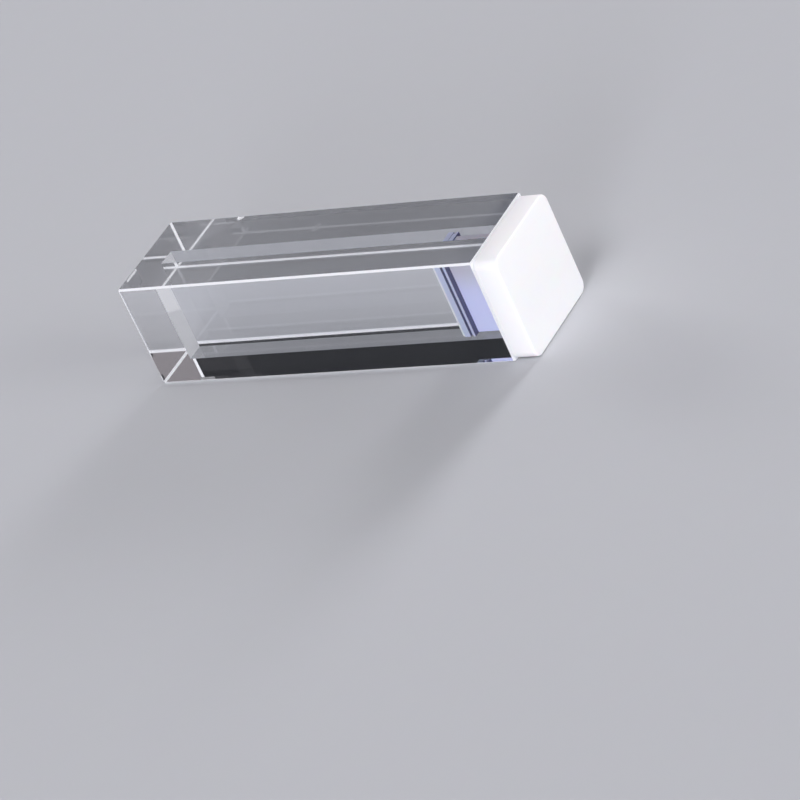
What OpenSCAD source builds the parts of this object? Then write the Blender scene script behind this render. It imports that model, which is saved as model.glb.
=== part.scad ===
// Square glass micro cuvette with a narrow sample slot and a push-in PTFE lid.
// It lies on one window face: X runs along the cell towards the lid, the light
// path runs up along Z, and Y crosses the slot. The origin is under the middle
// of the whole length, on the face that the cell lies on.

/* [Cell] */
// Outside width of the square cell
cell_width = 12.5; // [12:0.1:16]
// Length of the cell from its base to its rim
cell_length = 45; // [30:0.5:60]
// Light path inside the slot, from window to window
light_path = 10; // [8:0.1:10.5]
// Width of the slot between the two side blocks
slot_width = 2.2; // [2:0.1:5]
// Thickness of the solid base under the slot
base_thickness = 2.8; // [1:0.1:10]
// Ground bevel on every outer edge, measured along each face
edge_bevel = 0.2; // [0.1:0.05:0.4]
// Ground bevel round the mouth of the slot, measured along each face
mouth_bevel = 0.15; // [0.05:0.05:0.3]

/* [Edge nick] */
// Distance from the base end to the middle of the nick in the upper back edge
nick_place = 9.7; // [5:0.1:20]
// Radius of the shell-shaped nick
nick_radius = 0.8; // [0.6:0.05:1.2]
// Depth of the nick below the edge's ground bevel
nick_depth = 0.15; // [0.05:0.01:0.25]

/* [Lid plate] */
// How far the lid plate stays inside the cell's outline on every side
lid_inset = 0; // [0:0.05:0.5]
// Thickness of the lid plate
lid_thickness = 2.8; // [1.5:0.1:5]
// Radius of the lid plate's four corners
lid_corner_radius = 1.2; // [0.6:0.1:3]
// Bevel round the lid plate's outer face, measured along each face
lid_edge_bevel = 0.2; // [0.1:0.05:0.4]

/* [Lid tongue] */
// How far the tongue reaches into the slot
tongue_depth = 6.9; // [5:0.1:12]
// Gap between the sealing ribs and each side block
rib_clearance = 0.05; // [0.02:0.01:0.2]
// Gap between the tongue and the window at each end of the light path
tongue_end_gap = 0.4; // [0.1:0.05:1]
// Radius of the two corners at the tongue's tip
tip_corner_radius = 0.3; // [0.1:0.05:0.6]
// Width of the wide rib at the tongue's tip
tip_rib = 0.9; // [0.6:0.05:1.5]
// Width of the groove between the two ribs
groove_width = 0.35; // [0.3:0.05:1.5]
// Depth of the groove on each side of the tongue
groove_depth = 0.3; // [0.1:0.05:0.4]
// Width of the narrow rib behind the groove
second_rib = 0.25; // [0.15:0.05:0.6]
// How far the neck lies behind the ribs on each side of the tongue
neck_recess = 0.65; // [0.3:0.05:0.7]
// How far the neck stops short of the ribs at each end of the light path
neck_end_recess = 0.1; // [0.1:0.05:1]

/* [Hidden] */
$fn = 48;

// Distance that a cut runs past the face it opens
cut_margin = 1;
overall_length = cell_length + lid_thickness;
base_x = -overall_length / 2;
rim_x = base_x + cell_length;
mid_z = cell_width / 2;
slot_length = cell_length - base_thickness;
lid_side = cell_width - 2 * lid_inset;
// How far the nick's centre lies outside the bevel, across and up alike
nick_offset = (nick_radius - nick_depth) / sqrt(2) - edge_bevel / 2;

// Tongue half-thicknesses across the slot
rib_half = slot_width / 2 - rib_clearance;
groove_half = rib_half - groove_depth;
neck_half = rib_half - neck_recess;
// Tongue half-lengths along the light path
rib_reach = light_path / 2 - tongue_end_gap;
neck_reach = rib_reach - neck_end_recess;
// Distances of the tongue's steps from the rim, from the tip back to the plate
groove_start = tongue_depth - tip_rib;
second_rib_start = groove_start - groove_width;
neck_start = second_rib_start - second_rib;

// Rectangle about the origin with its four corners cut off at 45 degrees
module bevelled_rectangle(width, height, bevel) {
    x = width / 2;
    y = height / 2;
    polygon([
        [x - bevel, y], [x, y - bevel], [x, bevel - y], [x - bevel, -y],
        [bevel - x, -y], [-x, bevel - y], [-x, y - bevel], [bevel - x, y]
    ]);
}

// Block about the origin with all twelve edges bevelled: what is common to
// three bars that each carry the bevels of one direction
module bevelled_block(length, width, height, bevel) {
    intersection() {
        linear_extrude(height, center = true)
            bevelled_rectangle(length, width, bevel);
        rotate([90, 0, 0])
            linear_extrude(width, center = true)
                bevelled_rectangle(length, height, bevel);
        rotate([90, 0, 90])
            linear_extrude(length, center = true)
                bevelled_rectangle(width, height, bevel);
    }
}

// Flared cut that bevels a rectangular mouth: it opens along +X from the given
// width and height at x = -bevel, by one bevel on each side at x = 0
module mouth_flare(width, height, bevel) {
    module flare_profile(size) {
        half = size / 2;
        polygon([
            [-bevel, half], [-bevel, -half],
            [cut_margin, -half - bevel - cut_margin],
            [cut_margin, half + bevel + cut_margin]
        ]);
    }
    intersection() {
        linear_extrude(height + 4 * (bevel + cut_margin), center = true)
            flare_profile(width);
        rotate([90, 0, 0])
            linear_extrude(width + 4 * (bevel + cut_margin), center = true)
                flare_profile(height);
    }
}

// Ball whose cut leaves a shallow shell-shaped nick in the upper back edge
module edge_nick() {
    translate([base_x + nick_place, cell_width / 2 + nick_offset, cell_width + nick_offset])
        sphere(r = nick_radius);
}

// Fused glass body: two thick side blocks, two thin windows and a solid base,
// with the slot open at the rim and one small nick in an edge
module cell() {
    color([0.84, 0.88, 0.92, 0.35])
        difference() {
            translate([base_x + cell_length / 2, 0, mid_z])
                bevelled_block(cell_length, cell_width, cell_width, edge_bevel);
            translate([base_x + base_thickness, -slot_width / 2, mid_z - light_path / 2])
                cube([slot_length + cut_margin, slot_width, light_path]);
            translate([rim_x, 0, mid_z])
                mouth_flare(slot_width, light_path, mouth_bevel);
            edge_nick();
        }
}

// Square plate standing on z = 0 with round corners and a bevel round its top:
// four corner pillars and two bars across
module lid_plate(side, thickness, radius, bevel) {
    reach = side / 2 - radius;
    shoulder = thickness - bevel;
    module bar() {
        rotate([90, 0, 0])
            linear_extrude(2 * reach, center = true)
                polygon([
                    [-side / 2, 0], [side / 2, 0], [side / 2, shoulder],
                    [side / 2 - bevel, thickness], [bevel - side / 2, thickness],
                    [-side / 2, shoulder]
                ]);
    }
    bar();
    rotate([0, 0, 90]) bar();
    for (x = [-reach, reach], y = [-reach, reach])
        translate([x, y, 0]) {
            cylinder(h = shoulder, r = radius);
            translate([0, 0, shoulder])
                cylinder(h = bevel, r1 = radius, r2 = radius - bevel);
        }
}

// Half of the tongue's stepped section: x is the distance from the rim into
// the slot, y is the half-thickness
module tongue_section() {
    polygon([
        [0, -neck_half], [neck_start, -neck_half],
        [neck_start, -rib_half], [second_rib_start, -rib_half],
        [second_rib_start, -groove_half], [groove_start, -groove_half],
        [groove_start, -rib_half], [tongue_depth, -rib_half],
        [tongue_depth, rib_half], [groove_start, rib_half],
        [groove_start, groove_half], [second_rib_start, groove_half],
        [second_rib_start, rib_half], [neck_start, rib_half],
        [neck_start, neck_half], [0, neck_half]
    ]);
}

// Side view of the tongue: a wide ribbed end with round corners and a
// shorter neck
module tongue_outline() {
    translate([0, -neck_reach])
        square([tongue_depth / 2 + neck_start / 2, 2 * neck_reach]);
    translate([neck_start, -rib_reach])
        square([tongue_depth - neck_start - tip_corner_radius, 2 * rib_reach]);
    translate([neck_start, tip_corner_radius - rib_reach])
        square([tongue_depth - neck_start, 2 * (rib_reach - tip_corner_radius)]);
    for (side = [-1, 1])
        translate([tongue_depth - tip_corner_radius, side * (rib_reach - tip_corner_radius)])
            circle(r = tip_corner_radius);
}

// Tongue pointing along +X from the rim plane at x = 0, centred on the axis
module tongue() {
    intersection() {
        linear_extrude(light_path, center = true)
            tongue_section();
        rotate([90, 0, 0])
            linear_extrude(slot_width, center = true)
                tongue_outline();
    }
}

// PTFE lid in one piece: the plate seats on the rim and the tongue stops the slot
module lid() {
    color([0.96, 0.96, 0.97])
        translate([rim_x, 0, mid_z]) {
            rotate([0, 90, 0])
                lid_plate(lid_side, lid_thickness, lid_corner_radius, lid_edge_bevel);
            mirror([1, 0, 0])
                tongue();
        }
}

cell();
lid();
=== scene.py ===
"""Micro cuvette in optical glass with a white PTFE lid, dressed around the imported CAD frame.

The cell is a thick-walled block with one narrow slot. Its outer edges are ground to small flats that
stay frosted, and every broad face is polished. The lid is one machined piece: a plate, and a ribbed
tongue that plugs the slot.
"""

import math

import bpy
from bpy.props import FloatProperty, FloatVectorProperty, PointerProperty
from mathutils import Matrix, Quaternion, Vector


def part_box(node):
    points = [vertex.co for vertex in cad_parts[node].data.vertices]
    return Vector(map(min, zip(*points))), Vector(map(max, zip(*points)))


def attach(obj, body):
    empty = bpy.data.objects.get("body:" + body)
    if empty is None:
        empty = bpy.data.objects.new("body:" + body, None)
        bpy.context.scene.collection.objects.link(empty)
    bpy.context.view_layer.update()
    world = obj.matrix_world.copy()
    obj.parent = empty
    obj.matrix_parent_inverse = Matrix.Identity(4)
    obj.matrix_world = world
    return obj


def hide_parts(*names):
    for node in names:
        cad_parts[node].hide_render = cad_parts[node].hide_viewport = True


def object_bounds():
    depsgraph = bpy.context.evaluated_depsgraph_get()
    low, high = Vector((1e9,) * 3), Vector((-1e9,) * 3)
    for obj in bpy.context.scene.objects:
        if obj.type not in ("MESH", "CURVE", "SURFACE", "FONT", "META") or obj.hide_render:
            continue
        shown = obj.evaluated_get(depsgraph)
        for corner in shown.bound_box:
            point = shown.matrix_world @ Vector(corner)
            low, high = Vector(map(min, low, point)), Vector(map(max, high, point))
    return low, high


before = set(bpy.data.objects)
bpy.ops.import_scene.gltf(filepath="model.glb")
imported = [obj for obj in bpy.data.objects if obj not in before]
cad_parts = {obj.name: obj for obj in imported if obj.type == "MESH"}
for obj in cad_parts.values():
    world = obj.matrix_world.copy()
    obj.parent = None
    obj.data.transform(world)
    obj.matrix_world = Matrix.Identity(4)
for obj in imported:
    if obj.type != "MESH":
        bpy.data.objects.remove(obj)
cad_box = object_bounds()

bl_info = {
    "name": "Micro Cuvette",
    "version": (1, 0, 0),
    "blender": (4, 5, 0),
    "location": "View3D > Sidebar > Cuvette",
    "description": "Builds a narrow-slot glass cuvette, its PTFE lid and a plain studio",
    "category": "Add Mesh",
}

MM = 0.001
CELL_LOW, CELL_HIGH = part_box("cell")
LID_LOW, LID_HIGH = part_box("lid")
RIM_X = CELL_HIGH.x
CENTRE = (cad_box[0] + cad_box[1]) / 2

# A distance in metres that counts as none, and the least part of a normal that makes a face look one way
TOUCH = 1e-6
FACING = 0.9

# Places of two finishes in the cell's list of materials, where the polished one is 0
GROUND = 1
LAPPED = 2

# Half the narrowest colour band on the lid: a colour ramp has 256 steps over the lid's length
BAND = 0.04 * MM
# Length of the tongue's leading edge, which gets a painted highlight: a paler colour than the rib behind
# it
PAINTED_HIGHLIGHT_EDGE = 0.2 * MM
# How far the tongue starts inside the plate, so that the two join into one solid
ROOT_OVERLAP = 0.5 * MM

# Glass that rests on a table still has air under it, which keeps the underside's reflection
FLOOR_GAP = 0.04 * MM
# The floor's side in metres, and the nearest and furthest that the camera sees
FLOOR_SIZE = 6
CLIP_NEAR = 0.01
CLIP_FAR = 20

# Name, azimuth and elevation in degrees, strength, spread in degrees, colour, and whether glass shows it
LAMPS = (
    ("key", 5, 52, 1.24, 24, "#FBF9FF", True),
    ("right", 88, 20, 1.17, 19, "#FFFFFF", False),
    ("left", -115, 20, 0.75, 19, "#FFFFFF", False),
    ("front", 16, 11, 1.57, 19, "#F6F7FF", False),
    ("back", 172, 18, 2.36, 19, "#FBF9FF", False),
)


# Small helpers


def linear(code):
    """A colour written as an sRGB hex code, as linear RGBA."""
    parts = [int(code[start : start + 2], 16) / 255 for start in (1, 3, 5)]
    lights = [part / 12.92 if part <= 0.04045 else ((part + 0.055) / 1.055) ** 2.4 for part in parts]
    return (*lights, 1.0)


def same(first, second):
    """Whether two distances are the same, apart from rounding."""
    return abs(first - second) < TOUCH


def faces_rim(face):
    """Whether a face looks along the cell, from its base towards its lid."""
    return face.normal.x > FACING


def toward(azimuth, elevation):
    """The direction from the object to a camera or lamp. Azimuth 0 is -Y, and it grows towards +X."""
    level = math.cos(elevation)  # the part of it that runs level
    return Vector((math.sin(azimuth) * level, -math.cos(azimuth) * level, math.sin(elevation)))


def add_node(tree, kind, settings=None, **inputs):
    """Adds a node with its settings and links.

    settings are the node's own attributes. inputs are values, or sockets to link from. An input goes by
    its name, with _ for each space, or by _ and its number where several inputs share a name.
    """
    node = tree.nodes.new(kind)
    for name, value in (settings or {}).items():
        setattr(node, name, value)
    for name, value in inputs.items():
        number = name.removeprefix("_")
        socket = node.inputs[int(number) if number.isdigit() else name.replace("_", " ")]
        if isinstance(value, bpy.types.NodeSocket):
            tree.links.new(value, socket)
        else:
            socket.default_value = value
    return node


def new_material(name):
    """An empty material, its tree, and the socket that gives a point's place on the object in metres."""
    material = bpy.data.materials.new(name)
    material.use_nodes = True
    tree = material.node_tree
    tree.nodes.clear()
    place = add_node(tree, "ShaderNodeTexCoord").outputs["Object"]
    return material, tree, place


def object_mode():
    """Leaves edit mode, which writes its changes to the mesh."""
    if bpy.context.mode != "OBJECT":
        bpy.ops.object.mode_set(mode="OBJECT")


def clear_selection():
    """Deselects every object, because an operator acts on all that is selected."""
    object_mode()
    bpy.ops.object.select_all(action="DESELECT")


def block(name, low, high):
    """A primitive cube at its size and place, as the only selected object."""
    clear_selection()
    low = Vector(low)
    high = Vector(high)
    bpy.ops.mesh.primitive_cube_add(size=1, location=(low + high) / 2, scale=high - low)
    piece = bpy.context.object
    piece.name = name
    piece.data.name = name
    bpy.ops.object.transform_apply(location=True, rotation=True, scale=True)
    return piece


def pick(piece, faces=None, edges=None):
    """Goes into edit mode with only these faces, or these edges, selected.

    faces is a test of a face. edges is a test of an edge's two end points.
    """
    object_mode()
    bpy.context.view_layer.objects.active = piece
    mesh = piece.data
    for part in (mesh.vertices, mesh.edges, mesh.polygons):
        part.foreach_set("select", [False] * len(part))
    if faces is not None:
        bpy.context.tool_settings.mesh_select_mode = (False, False, True)
        chosen = [face for face in mesh.polygons if faces(face)]
    else:
        bpy.context.tool_settings.mesh_select_mode = (False, True, False)
        points = [vertex.co for vertex in mesh.vertices]
        chosen = [edge for edge in mesh.edges if edges(*(points[i] for i in edge.vertices))]
    if not chosen:
        raise RuntimeError("Nothing to pick on " + piece.name)
    for part in chosen:
        part.select = True
        for i in part.vertices:
            mesh.vertices[i].select = True
    bpy.ops.object.mode_set(mode="EDIT")


def cut(piece, tool, operation):
    """Joins or cuts a piece with another object, which is then deleted."""
    clear_selection()
    piece.select_set(True)
    bpy.context.view_layer.objects.active = piece
    change = piece.modifiers.new("cut", "BOOLEAN")
    change.operation = operation
    change.object = tool
    change.solver = "EXACT"
    bpy.ops.object.modifier_apply(modifier=change.name)
    bpy.data.objects.remove(tool)


def finish_piece(piece, slot, *nodes):
    """Ties a finished piece to the frame's body, and hides the CAD nodes that it stands for."""
    object_mode()
    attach(piece, "root")
    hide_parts(*nodes)


# Materials


def polished_glass(tint, ior):
    """Optical glass, pitch polished: clear and mirror-flat, with a trace of haze from wiping."""
    smear_length = MM / 0.06  # about 17 mm along the cell, and 4 mm across it
    smear_width = MM / 0.26
    most_haze = 0.02  # roughness where the wiping shows most
    passed_light = 0.82  # the part of the light that crosses the glass on its way to the floor

    material, tree, place = new_material("optical_glass_polished")
    wipes = add_node(
        tree,
        "ShaderNodeMapping",
        Vector=place,
        Scale=(1 / smear_length, 1 / smear_width, 1 / smear_width),
    )
    smear = add_node(
        tree,
        "ShaderNodeTexNoise",
        Vector=wipes.outputs["Vector"],
        Scale=1.0,
        Detail=3.0,
        Roughness=0.6,
    )
    haze = add_node(
        tree,
        "ShaderNodeMapRange",
        Value=smear.outputs["Fac"],
        From_Min=0.55,
        From_Max=0.8,
        To_Min=0.0,
        To_Max=most_haze,
    )
    glass = add_node(
        tree,
        "ShaderNodeBsdfPrincipled",
        Base_Color=tint,
        Roughness=haze.outputs["Result"],
        IOR=ior,
        Transmission_Weight=1.0,
    )
    # Lamp light and stray light go straight through, so the shadow under the cell is soft and pale.
    straight = add_node(
        tree,
        "ShaderNodeBsdfTransparent",
        Color=(passed_light, passed_light, passed_light, 1),
    )
    path = add_node(tree, "ShaderNodeLightPath")
    plain_light = add_node(
        tree,
        "ShaderNodeMath",
        {"operation": "MAXIMUM"},
        _0=path.outputs["Is Shadow Ray"],
        _1=path.outputs["Is Diffuse Ray"],
    )
    mix = add_node(
        tree,
        "ShaderNodeMixShader",
        _0=plain_light.outputs["Value"],
        _1=glass.outputs["BSDF"],
        _2=straight.outputs["BSDF"],
    )
    add_node(tree, "ShaderNodeOutputMaterial", Surface=mix.outputs["Shader"])
    return material


def ground_glass(frost, ior):
    """Optical glass, fine ground: the edge flats scatter light, and a painted glow makes them read as
    bright frosted lines.
    """
    pit_size = MM / 9  # the real grit is 0.02 mm, which is too fine to show
    pit_depth = 0.005 * MM
    pit_tone = linear("#D9DCE2")
    painted_edge_glow = 0.26  # painted glow: emission that stands for the light inside the glass that a flat sends out again
    let_through = 0.4  # the part of the light that a flat scatters to its far side

    material, tree, place = new_material("optical_glass_ground")
    grit = add_node(tree, "ShaderNodeTexNoise", Vector=place, Scale=1 / pit_size, Detail=2.0)
    shade = add_node(
        tree,
        "ShaderNodeMix",
        {"data_type": "RGBA"},
        _0=grit.outputs["Fac"],
        _6=pit_tone,
        _7=frost,
    )
    rough = add_node(tree, "ShaderNodeMapRange", Value=grit.outputs["Fac"], To_Min=0.45, To_Max=0.75)
    bump = add_node(
        tree,
        "ShaderNodeBump",
        Height=grit.outputs["Fac"],
        Strength=0.1,
        Distance=pit_depth,
    )
    frosted = add_node(
        tree,
        "ShaderNodeBsdfPrincipled",
        Base_Color=shade.outputs[2],
        Roughness=rough.outputs["Result"],
        IOR=ior,
        Normal=bump.outputs["Normal"],
        Emission_Color=(1.0, 1.0, 1.0, 1.0),
        Emission_Strength=painted_edge_glow,
    )
    glow = add_node(
        tree,
        "ShaderNodeBsdfTranslucent",
        Color=shade.outputs[2],
        Normal=bump.outputs["Normal"],
    )
    both_sides = add_node(
        tree,
        "ShaderNodeMixShader",
        _0=let_through,
        _1=frosted.outputs["BSDF"],
        _2=glow.outputs["BSDF"],
    )
    add_node(tree, "ShaderNodeOutputMaterial", Surface=both_sides.outputs["Shader"])
    return material


def lapped_glass(frost, ior):
    """Optical glass, fine lapped: hazy grey from outside, and still a mirror to light grazing inside."""
    mark_size = 0.4 * MM  # coarser than the real 0.01 mm, so that the lapping marks show
    painted_glow_slant = (0.0, 0.55, 1.0)  # up the slot's floor, with a lean to the back
    painted_glow_from = CELL_HIGH.z - 5.75 * MM
    painted_glow_full = CELL_HIGH.z - 5.55 * MM
    let_through = 0.3  # the part of the light that the haze scatters to its far side

    material, tree, place = new_material("optical_glass_lapped")
    grit = add_node(tree, "ShaderNodeTexNoise", Vector=place, Scale=1 / mark_size, Detail=3.0)
    rough = add_node(tree, "ShaderNodeMapRange", Value=grit.outputs["Fac"], To_Min=0.25, To_Max=0.4)
    # Painted light: an emitted glow on the upper part of the slot's floor, above a slanted line, stands
    # for light through the upper window.
    slant = add_node(
        tree,
        "ShaderNodeVectorMath",
        {"operation": "DOT_PRODUCT"},
        _0=place,
        _1=painted_glow_slant,
    )
    lit = add_node(
        tree,
        "ShaderNodeMapRange",
        Value=slant.outputs["Value"],
        From_Min=painted_glow_from,
        From_Max=painted_glow_full,
        To_Min=0.06,
        To_Max=0.26,
    )
    lapped = add_node(
        tree,
        "ShaderNodeBsdfPrincipled",
        Base_Color=frost,
        Roughness=rough.outputs["Result"],
        IOR=ior,
        Transmission_Weight=0.7,
        Emission_Color=(0.97, 0.95, 1.0, 1.0),
        Emission_Strength=lit.outputs["Result"],
    )
    glow = add_node(tree, "ShaderNodeBsdfTranslucent", Color=frost)
    haze = add_node(
        tree,
        "ShaderNodeMixShader",
        _0=let_through,
        _1=lapped.outputs["BSDF"],
        _2=glow.outputs["BSDF"],
    )
    mirror = add_node(
        tree,
        "ShaderNodeBsdfPrincipled",
        Base_Color=frost,
        Roughness=0.0,
        IOR=ior,
        Transmission_Weight=1.0,
    )
    grazing = add_node(tree, "ShaderNodeFresnel", IOR=ior)
    both = add_node(
        tree,
        "ShaderNodeMixShader",
        _0=grazing.outputs["Fac"],
        _1=haze.outputs["Shader"],
        _2=mirror.outputs["BSDF"],
    )
    add_node(tree, "ShaderNodeOutputMaterial", Surface=both.outputs["Shader"])
    return material


def machined_ptfe(bands, neck_start):
    """PTFE, milled: a waxy, slightly translucent white with fine cutter lines; the tongue is painted
    darker and bluer than the plate, as painted shade.

    bands gives the colour from each place along X onward, and so paints light along the tongue: a painted
    highlight on its tip and painted shade on the steps that face the plate. The neck runs from neck_start
    to the rim.
    """
    mottle_size = MM / 0.3  # about 3 mm across, as in pressed and sintered stock
    mottle = 0.04  # how much of it shows
    line_scale = 0.7 / MM  # cutter lines 0.45 mm apart: at scale 1 a wave repeats every 0.314 m
    line_depth = 0.02 * MM
    spread_inside = 0.15 * MM  # how far light spreads inside the white
    painted_neck_glow = 0.19  # strength of the painted glow in the neck's lower part
    painted_shade_tone = (0.916, 0.888, 0.762, 1.0)  # painted shade: what the neck's colour is multiplied by at its top
    painted_shade_from = CENTRE.z - 1 * MM
    painted_shade_full = LID_HIGH.z - 2 * MM

    material, tree, place = new_material("ptfe_machined")
    axes = add_node(tree, "ShaderNodeSeparateXYZ", Vector=place)
    along = add_node(
        tree,
        "ShaderNodeMapRange",
        Value=axes.outputs["X"],
        From_Min=LID_LOW.x,
        From_Max=LID_HIGH.x,
    )
    tone = add_node(tree, "ShaderNodeValToRGB", Fac=along.outputs["Result"])
    ramp = tone.color_ramp
    ramp.interpolation = "CONSTANT"
    ramp.elements.remove(ramp.elements[1])
    ramp.elements[0].color = bands[0][1]
    for start, shade in bands[1:]:
        ramp.elements.new((start - LID_LOW.x) / (LID_HIGH.x - LID_LOW.x)).color = shade

    # Painted light on the neck: an emitted glow in its lower part, and painted shade that makes its
    # colour darker and warmer towards its top.
    on_neck = add_node(
        tree,
        "ShaderNodeMath",
        {"operation": "COMPARE"},
        _0=axes.outputs["X"],
        _1=(neck_start + RIM_X) / 2,
        _2=(RIM_X - neck_start) / 2 - BAND,
    )
    upward = add_node(
        tree,
        "ShaderNodeMapRange",
        {"interpolation_type": "SMOOTHSTEP"},
        Value=axes.outputs["Z"],
        From_Min=painted_shade_from,
        From_Max=painted_shade_full,
    )
    lower = add_node(
        tree,
        "ShaderNodeMath",
        {"operation": "SUBTRACT"},
        _0=on_neck.outputs["Value"],
        _1=upward.outputs["Result"],
    )
    glow = add_node(tree, "ShaderNodeMapRange", Value=lower.outputs["Value"], To_Max=painted_neck_glow)
    painted_shade_amount = add_node(
        tree,
        "ShaderNodeMath",
        {"operation": "MULTIPLY"},
        _0=on_neck.outputs["Value"],
        _1=upward.outputs["Result"],
    )
    cloud = add_node(tree, "ShaderNodeTexNoise", Vector=place, Scale=1 / mottle_size, Detail=4.0)
    mottled = add_node(
        tree,
        "ShaderNodeMix",
        {"data_type": "RGBA", "blend_type": "MULTIPLY"},
        _0=mottle,
        _6=tone.outputs["Color"],
        _7=cloud.outputs["Color"],
    )
    painted_shade_mix = add_node(
        tree,
        "ShaderNodeMix",
        {"data_type": "RGBA", "blend_type": "MULTIPLY"},
        _0=painted_shade_amount.outputs["Value"],
        _6=mottled.outputs[2],
        _7=painted_shade_tone,
    )
    lines = add_node(
        tree,
        "ShaderNodeTexWave",
        {"wave_type": "BANDS", "bands_direction": "Y"},
        Vector=place,
        Scale=line_scale,
        Distortion=1.5,
        Detail=2.0,
    )
    bump = add_node(
        tree,
        "ShaderNodeBump",
        Height=lines.outputs["Fac"],
        Strength=0.08,
        Distance=line_depth,
    )
    rough = add_node(tree, "ShaderNodeMapRange", Value=cloud.outputs["Fac"], To_Min=0.38, To_Max=0.55)
    ptfe = add_node(
        tree,
        "ShaderNodeBsdfPrincipled",
        Base_Color=painted_shade_mix.outputs[2],
        Roughness=rough.outputs["Result"],
        IOR=1.35,
        Subsurface_Weight=0.15,
        Subsurface_Scale=spread_inside,
        Normal=bump.outputs["Normal"],
        Emission_Color=(0.32, 0.41, 1.0, 1.0),
        Emission_Strength=glow.outputs["Result"],
    )
    add_node(tree, "ShaderNodeOutputMaterial", Surface=ptfe.outputs["BSDF"])
    return material


def floor_paper(tone):
    """Studio paper, calendered: matt and even, with a faint fibre mottle."""
    fibre_size = 2.5 * MM
    mottle = 0.02  # how much of the fibre shows

    material, tree, place = new_material("studio_paper_matt")
    fibre = add_node(tree, "ShaderNodeTexNoise", Vector=place, Scale=1 / fibre_size, Detail=5.0)
    shade = add_node(
        tree,
        "ShaderNodeMix",
        {"data_type": "RGBA", "blend_type": "MULTIPLY"},
        _0=mottle,
        _6=tone,
        _7=fibre.outputs["Color"],
    )
    paper = add_node(tree, "ShaderNodeBsdfPrincipled", Base_Color=shade.outputs[2], Roughness=0.9)
    add_node(tree, "ShaderNodeOutputMaterial", Surface=paper.outputs["BSDF"])
    return material


def studio_room(floor_tone):
    """The room round the object, as the glass shows it.

    Low down it has the floor's tone, so the floor has no visible end. Higher up it is nearly black
    towards -X and grey towards +X, which gives the clear faces their darker and lighter tones.
    """
    dark_tone = (0.010, 0.011, 0.014, 1)
    grey_tone = (0.245, 0.226, 0.24, 1)
    low = 0.12  # the sine of 7 degrees above level, and of 21 degrees
    high = 0.36

    room = bpy.data.worlds.new("studio_room")
    room.use_nodes = True
    tree = room.node_tree
    tree.nodes.clear()
    way = add_node(tree, "ShaderNodeTexCoord")
    axes = add_node(tree, "ShaderNodeSeparateXYZ", Vector=way.outputs["Generated"])
    height = add_node(
        tree,
        "ShaderNodeMapRange",
        {"interpolation_type": "SMOOTHSTEP"},
        Value=axes.outputs["Z"],
        From_Min=low,
        From_Max=high,
    )
    side = add_node(
        tree,
        "ShaderNodeMapRange",
        {"interpolation_type": "SMOOTHSTEP"},
        Value=axes.outputs["X"],
        From_Min=-0.3,
        From_Max=0.5,
    )
    upper = add_node(
        tree,
        "ShaderNodeMix",
        {"data_type": "RGBA"},
        _0=side.outputs["Result"],
        _6=dark_tone,
        _7=grey_tone,
    )
    tone = add_node(
        tree,
        "ShaderNodeMix",
        {"data_type": "RGBA"},
        _0=height.outputs["Result"],
        _6=floor_tone,
        _7=upper.outputs[2],
    )
    back = add_node(tree, "ShaderNodeBackground", Color=tone.outputs[2], Strength=1.0)
    add_node(tree, "ShaderNodeOutputWorld", Surface=back.outputs["Background"])
    return room


# Settings shown in the sidebar


def length(name, description, millimetres):
    """A size that a user can change, given here in millimetres."""
    return FloatProperty(
        name=name, description=description, default=millimetres * MM, min=0, unit="LENGTH", precision=5
    )


def angle(name, description, degrees):
    """An angle that a user can change, given here in degrees."""
    return FloatProperty(
        name=name, description=description, default=math.radians(degrees), subtype="ANGLE"
    )


def colour(name, description, code):
    """A colour that a user can change, given here as an sRGB hex code."""
    return FloatVectorProperty(
        name=name, description=description, default=linear(code), size=4, subtype="COLOR", min=0, max=1
    )


class CuvetteCellSettings(bpy.types.PropertyGroup):
    """Sizes and looks of the glass cell"""

    slot_width: length("Slot width", "Gap between the two thick side blocks", 2.2)
    light_path: length("Light path", "Distance between the slot's two end windows", 10.0)
    base_thickness: length("Base thickness", "Solid glass under the slot", 2.8)
    edge_bevel: length("Edge bevel", "Width of the ground flat on each outer edge", 0.2)
    mouth_bevel: length("Mouth bevel", "Ground flat round the slot's mouth", 0.15)
    nick_place: length("Nick place", "From the base end to the nick in the upper back edge", 9.7)
    nick_radius: length("Nick radius", "Radius of the shell-shaped nick", 0.5)
    nick_inset: length("Nick inset", "From the edge to the middle of the nick", 0.35)
    nick_depth: length("Nick depth", "Depth of the nick below the upper face", 0.25)
    ior: FloatProperty(name="Refractive index", description="Of the glass", default=1.53, min=1, max=2)
    tint: colour("Glass tint", "Colour of the polished glass", "#FCFDFF")
    frost: colour("Ground edges", "Colour of the ground flats", "#FFFFFF")


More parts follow.
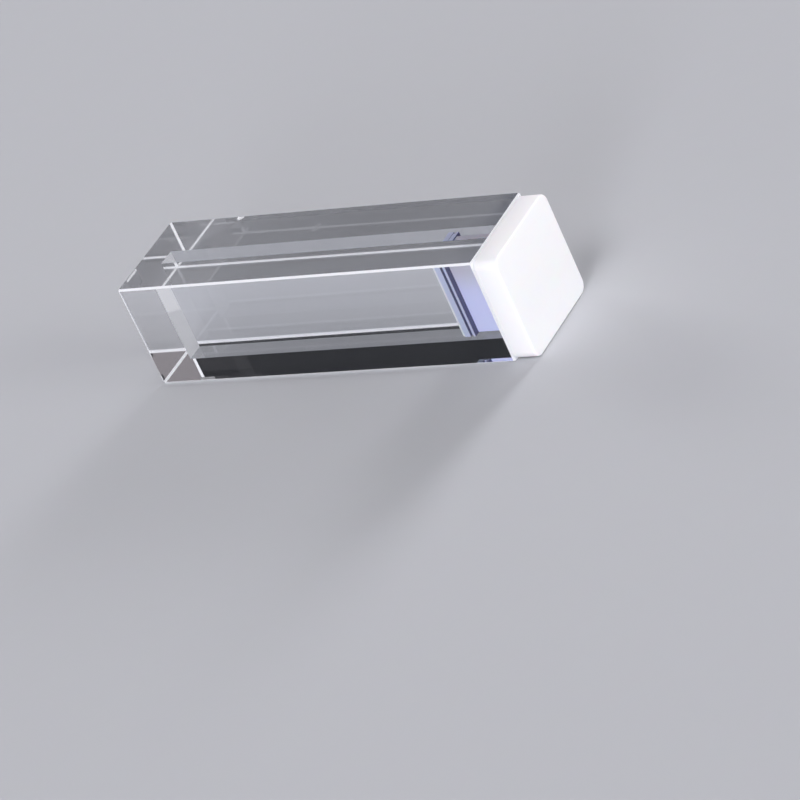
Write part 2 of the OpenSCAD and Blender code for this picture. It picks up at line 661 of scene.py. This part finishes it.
class CuvetteLidSettings(bpy.types.PropertyGroup):
    """Sizes and looks of the lid"""

    corner_radius: length("Corner radius", "Rounding of the plate's four corners", 1.2)
    edge_round: length("Edge rounding", "Rounding of the plate's rims", 0.2)
    tip_rib: length("Tip rib", "Length of the rib at the tongue's tip", 0.9)
    groove_width: length("Groove", "Length of the groove behind the tip rib", 0.35)
    groove_depth: length("Groove depth", "Depth of that groove", 0.3)
    second_rib: length("Second rib", "Length of the thin rib behind the groove", 0.25)
    neck_recess: length("Neck recess", "How far the neck stands back from the ribs' faces", 0.65)
    neck_end_recess: length("Neck end recess", "How far the neck stands back at the ribs' ends", 0.1)
    rib_clearance: length("Rib clearance", "Air between a rib's face and the slot wall", 0.05)
    tongue_end_gap: length("Tongue end gap", "Air between the tongue and each end window", 0.4)
    tip_radius: length("Tip radius", "Rounding of the tongue's two tip corners", 0.3)
    plate: colour("Plate", "Colour of the thick plate", "#F8F8F8")
    # The next four colours are painted light: the tip is a painted highlight, the step shade is painted
    # shade, and the neck and ribs get bluer, darker tones than the plate as painted shade.
    tongue: colour("Tongue", "Colour of the tongue's thin neck", "#E0E2FF")
    tip: colour("Tip", "Colour of the tongue's leading edge", "#F6FAFF")
    rib: colour("Ribs", "Colour of the tongue's ribs", "#D4DCF8")
    shade: colour("Step shade", "Colour of the steps that face the plate", "#4E5080")


class CuvetteStageSettings(bpy.types.PropertyGroup):
    """Place of the camera, and the floor's colour"""

    floor: colour("Floor", "Colour of the paper", "#C0C2C5")
    aim: FloatVectorProperty(
        name="Aim",
        description="Point that the camera looks at",
        default=(3.90 * MM, -4.85 * MM, -4.95 * MM),
        subtype="TRANSLATION",
        unit="LENGTH",
        precision=5,
    )
    distance: length("Camera distance", "From the aim point to the camera", 480.83)
    azimuth: angle("Azimuth", "Camera's turn round the object", 39.81)
    elevation: angle("Elevation", "Camera above the horizon", 29.06)
    roll: angle("Roll", "Turn about the line of sight", -25.30)
    lens: FloatProperty(
        name="Lens", description="Focal length in millimetres", default=206.27, unit="CAMERA"
    )


# Pieces


class CUVETTE_OT_glass_cell(bpy.types.Operator):
    """Make the glass cell: a block with ground edge flats and one narrow polished slot"""

    bl_idname = "cuvette.glass_cell"
    bl_label = "Glass cell"

    def execute(self, context):
        sizes = context.scene.cuvette_cell
        half_y = (CELL_HIGH.y - CELL_LOW.y) / 2
        half_z = (CELL_HIGH.z - CELL_LOW.z) / 2
        window = (CELL_HIGH.z - CELL_LOW.z - sizes.light_path) / 2

        def on_corner(point):
            return same(abs(point.y - CENTRE.y), half_y) and same(abs(point.z - CENTRE.z), half_z)

        def at_mouth(point):
            near_slot = abs(point.y - CENTRE.y) < sizes.slot_width
            return same(point.x, RIM_X) and near_slot and abs(point.z - CENTRE.z) < half_z - window / 2

        cell = block("glass_cell", CELL_LOW, CELL_HIGH)
        cell.data.materials.append(polished_glass(sizes.tint, sizes.ior))
        cell.data.materials.append(ground_glass(sizes.frost, sizes.ior))
        cell.data.materials.append(lapped_glass(sizes.frost, sizes.ior))

        # The slot: the end face is inset by the windows' thickness, narrowed and pushed in.
        pick(cell, faces=faces_rim)
        bpy.ops.mesh.inset(thickness=window)
        bpy.ops.transform.resize(value=(1, sizes.slot_width / sizes.light_path, 1))
        depth = RIM_X - CELL_LOW.x - sizes.base_thickness
        bpy.ops.mesh.extrude_region_move(TRANSFORM_OT_translate={"value": (-depth, 0, 0)})

        # The ground flats, on the outer edges and round the mouth.
        pick(cell, edges=lambda start, end: on_corner(start) and on_corner(end))
        bpy.ops.mesh.bevel(offset=sizes.edge_bevel, segments=1, material=GROUND)
        pick(cell, edges=lambda start, end: at_mouth(start) and at_mouth(end))
        bpy.ops.mesh.bevel(offset=sizes.mouth_bevel, segments=1, material=GROUND)

        # The rim is ground, and the slot's floor is lapped.
        object_mode()
        for face in filter(faces_rim, cell.data.polygons):
            face.material_index = GROUND if same(face.center.x, RIM_X) else LAPPED

        # A ball cuts the nick, and leaves its own finish there.
        clear_selection()
        bpy.ops.mesh.primitive_ico_sphere_add(
            subdivisions=5,
            radius=sizes.nick_radius,
            location=(
                CELL_LOW.x + sizes.nick_place,
                CELL_HIGH.y - sizes.nick_inset,
                CELL_HIGH.z + sizes.nick_radius - sizes.nick_depth,
            ),
        )
        ball = context.object
        for material in cell.data.materials:
            ball.data.materials.append(material)
        for face in ball.data.polygons:
            face.material_index = GROUND
        cut(cell, ball, "DIFFERENCE")
        finish_piece(cell, "optical_glass", "cell")
        return {"FINISHED"}


class CUVETTE_OT_ptfe_lid(bpy.types.Operator):
    """Make the lid: a round-cornered plate with a ribbed tongue, machined from one piece"""

    bl_idname = "cuvette.ptfe_lid"
    bl_label = "PTFE lid"

    def execute(self, context):
        sizes = context.scene.cuvette_lid
        slot = context.scene.cuvette_cell
        plate = block("ptfe_lid", (RIM_X, LID_LOW.y, LID_LOW.z), LID_HIGH)
        pick(plate, edges=lambda start, end: not same(start.x, end.x))
        bpy.ops.mesh.bevel(offset=sizes.corner_radius, segments=8)
        pick(plate, edges=lambda start, end: same(start.x, end.x))
        bpy.ops.mesh.bevel(offset=sizes.edge_round, segments=3)
        object_mode()

        # Half sizes of the tongue's sections, and the places of its steps
        rib_y = slot.slot_width / 2 - sizes.rib_clearance
        rib_z = slot.light_path / 2 - sizes.tongue_end_gap
        groove_y = rib_y - sizes.groove_depth
        neck_y = rib_y - sizes.neck_recess
        neck_z = rib_z - sizes.neck_end_recess
        tip = LID_LOW.x
        groove_start = tip + sizes.tip_rib
        groove_end = groove_start + sizes.groove_width
        neck_start = groove_end + sizes.second_rib

        tongue = block(
            "tongue",
            (tip, CENTRE.y - rib_y, CENTRE.z - rib_z),
            (groove_start, CENTRE.y + rib_y, CENTRE.z + rib_z),
        )
        pick(
            tongue,
            edges=lambda start, end: same(start.x, tip)
            and same(end.x, tip)
            and not same(start.y, end.y),
        )
        bpy.ops.mesh.bevel(offset=sizes.tip_radius, segments=4)
        pick(tongue, faces=faces_rim)
        steps = (
            (groove_y / rib_y, 1.0, sizes.groove_width),
            (rib_y / groove_y, 1.0, sizes.second_rib),
            (neck_y / rib_y, neck_z / rib_z, RIM_X + ROOT_OVERLAP - neck_start),
        )
        for wide, high, run in steps:
            bpy.ops.mesh.extrude_region_move(TRANSFORM_OT_translate={"value": (0, 0, 0)})
            bpy.ops.transform.resize(value=(1, wide, high), center_override=(0, CENTRE.y, CENTRE.z))
            bpy.ops.mesh.extrude_region_move(TRANSFORM_OT_translate={"value": (run, 0, 0)})
        # The groove is open at both ends, so its steps leave flat slivers, which join their neighbours.
        pick(
            tongue,
            edges=lambda start, end: same(start.x, end.x)
            and same(start.z, end.z)
            and same(abs(start.y - end.y), 2 * rib_y)
            and (same(start.x, groove_start) or same(start.x, groove_end)),
        )
        bpy.ops.mesh.dissolve_edges(use_verts=False)
        object_mode()

        cut(plate, tongue, "UNION")
        bpy.ops.object.shade_smooth_by_angle(angle=math.radians(35))
        # Painted light along the tongue: a painted highlight on the tip, painted shade on the two steps
        # that face the plate, and ribs and neck darker and bluer than the plate as painted shade.
        bands = (
            (tip, sizes.tip),
            (tip + PAINTED_HIGHLIGHT_EDGE, sizes.rib),
            (groove_start - BAND, sizes.shade),
            (groove_start + BAND, sizes.rib),
            (neck_start - BAND, sizes.shade),
            (neck_start + BAND, sizes.tongue),
            (RIM_X - BAND, sizes.plate),
        )
        plate.data.materials.clear()
        plate.data.materials.append(machined_ptfe(bands, neck_start))
        finish_piece(plate, "ptfe", "lid")
        return {"FINISHED"}


# Stage


def soft_light(name, azimuth, elevation, strength, spread, shade, shown):
    """A far, broad lamp, with its place and spread in degrees, so the whole floor is lit alike.

    A low lamp isn't shown in glass, because its image would fill the polished faces with plain white.
    """
    away = toward(math.radians(azimuth), math.radians(elevation))
    bpy.ops.object.light_add(type="SUN", location=CENTRE + away)
    lamp = bpy.context.object
    lamp.name = name
    lamp.rotation_euler = away.to_track_quat("Z", "Y").to_euler()
    lamp.data.energy = strength
    lamp.data.angle = math.radians(spread)
    lamp.data.color = linear(shade)[:3]
    lamp.visible_glossy = shown
    lamp.visible_transmission = shown


class CUVETTE_OT_stage(bpy.types.Operator):
    """Make the camera, the paper floor, the soft lamps and the room's tone"""

    bl_idname = "cuvette.stage"
    bl_label = "Stage"

    def execute(self, context):
        scene = context.scene
        settings = scene.cuvette_stage
        clear_selection()

        away = toward(settings.azimuth, settings.elevation)
        bpy.ops.object.camera_add(location=Vector(settings.aim) + away * settings.distance)
        camera = context.object
        camera.rotation_mode = "QUATERNION"
        camera.rotation_quaternion = away.to_track_quat("Z", "Y") @ Quaternion((0, 0, 1), settings.roll)
        camera.data.lens = settings.lens
        camera.data.clip_start = CLIP_NEAR
        camera.data.clip_end = CLIP_FAR
        scene.camera = camera

        bpy.ops.mesh.primitive_plane_add(size=FLOOR_SIZE, location=(0, 0, -FLOOR_GAP))
        floor = context.object
        floor.name = "paper_floor"
        floor.data.materials.append(floor_paper(settings.floor))

        for lamp in LAMPS:
            soft_light(*lamp)
        scene.world = studio_room(settings.floor)
        scene.view_settings.view_transform = "Standard"
        return {"FINISHED"}


class CUVETTE_PT_panel(bpy.types.Panel):
    """Lists the settings and the buttons that make each piece"""

    bl_label = "Micro Cuvette"
    bl_idname = "CUVETTE_PT_panel"
    bl_space_type = "VIEW_3D"
    bl_region_type = "UI"
    bl_category = "Cuvette"

    def draw(self, context):
        scene = context.scene
        for operator, settings in (
            (CUVETTE_OT_glass_cell, scene.cuvette_cell),
            (CUVETTE_OT_ptfe_lid, scene.cuvette_lid),
            (CUVETTE_OT_stage, scene.cuvette_stage),
        ):
            box = self.layout.box()
            for name in settings.__annotations__:
                box.prop(settings, name)
            box.operator(operator.bl_idname)


classes = (
    CuvetteCellSettings,
    CuvetteLidSettings,
    CuvetteStageSettings,
    CUVETTE_OT_glass_cell,
    CUVETTE_OT_ptfe_lid,
    CUVETTE_OT_stage,
    CUVETTE_PT_panel,
)


def register():
    """Makes the settings, operators and panel known, and hangs the settings on the scene."""
    for kind in classes:
        bpy.utils.register_class(kind)
    bpy.types.Scene.cuvette_cell = PointerProperty(type=CuvetteCellSettings)
    bpy.types.Scene.cuvette_lid = PointerProperty(type=CuvetteLidSettings)
    bpy.types.Scene.cuvette_stage = PointerProperty(type=CuvetteStageSettings)


def unregister():
    """Takes away what register added."""
    for name in ("cuvette_cell", "cuvette_lid", "cuvette_stage"):
        delattr(bpy.types.Scene, name)
    for kind in reversed(classes):
        bpy.utils.unregister_class(kind)


def main():
    register()
    bpy.ops.cuvette.glass_cell()
    bpy.ops.cuvette.ptfe_lid()
    bpy.ops.cuvette.stage()


if __name__ == "__main__":
    main()
